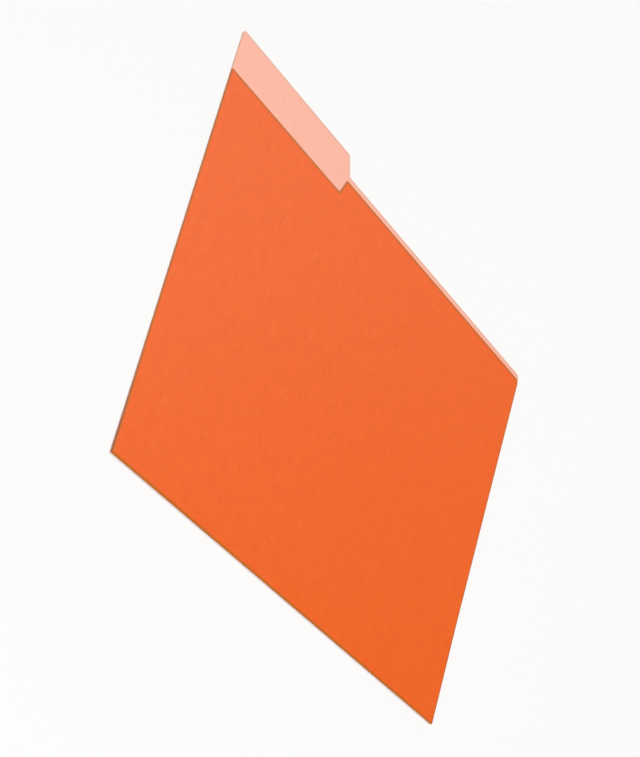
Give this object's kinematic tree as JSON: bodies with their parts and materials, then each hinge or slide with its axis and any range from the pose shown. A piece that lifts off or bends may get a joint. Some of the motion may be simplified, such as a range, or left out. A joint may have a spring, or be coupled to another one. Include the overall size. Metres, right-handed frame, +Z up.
{
  "type": "file folder",
  "caption": "Two-tone card file folder, legal size, folded along one edge, with a cut tab standing above an undercut front panel.",
  "frame": {"origin": "middle of the underside of the closed folder, which lies on its back panel", "axes": "+X along the fold, from the tab's end to the other, +Y from the fold to the tab, +Z up through the closed folder, out of the front panel"},
  "size_m": [0.3746, 0.2426, 0.0012],
  "materials": {
    "outer_card": "matte",
    "inner_card": "matte"
  },
  "bodies": {
    "back": {"tab_outer_ply": "outer_card", "tab_inner_ply": "inner_card", "back_panel_outer_ply": "outer_card", "back_panel_inner_ply": "inner_card"},
    "fold_ridge": {"fold_ridge_outer_ply": "outer_card", "fold_ridge_inner_ply": "inner_card"},
    "strip_1": {"expansion_strip_1_outer_ply": "outer_card", "expansion_strip_1_inner_ply": "inner_card"},
    "strip_2": {"expansion_strip_2_outer_ply": "outer_card", "expansion_strip_2_inner_ply": "inner_card"},
    "strip_3": {"expansion_strip_3_outer_ply": "outer_card", "expansion_strip_3_inner_ply": "inner_card"},
    "front": {"front_panel_outer_ply": "outer_card", "front_panel_inner_ply": "inner_card"}
  },
  "joints": [
    {"name": "bottom_fold", "type": "hinge", "parent": "back", "child": "fold_ridge", "pos_m": [0, -0.12111, 0.00014], "axis": [1, 0, 0], "range_deg": [0, 90], "stiffness_Nm_per_rad": 0.1},
    {"name": "cover_fold", "type": "hinge", "parent": "fold_ridge", "child": "strip_1", "pos_m": [0, -0.12111, 0.00106], "axis": [1, 0, 0], "range_deg": [0, 180]},
    {"name": "score_1", "type": "hinge", "parent": "strip_1", "child": "strip_2", "pos_m": [0, -0.11476, 0.00106], "axis": [1, 0, 0], "range_deg": [-30, 0], "stiffness_Nm_per_rad": 0.1},
    {"name": "score_2", "type": "hinge", "parent": "strip_2", "child": "strip_3", "pos_m": [0, -0.10841, 0.00106], "axis": [1, 0, 0], "range_deg": [-30, 0], "stiffness_Nm_per_rad": 0.1},
    {"name": "score_3", "type": "hinge", "parent": "strip_3", "child": "front", "pos_m": [0, -0.10206, 0.00106], "axis": [1, 0, 0], "range_deg": [-30, 0], "stiffness_Nm_per_rad": 0.1}
  ],
  "couplings": [
    {"joint": "score_1", "follows": "bottom_fold", "ratio": -0.33333},
    {"joint": "score_2", "follows": "bottom_fold", "ratio": -0.33333},
    {"joint": "score_3", "follows": "bottom_fold", "ratio": -0.33333}
  ]
}
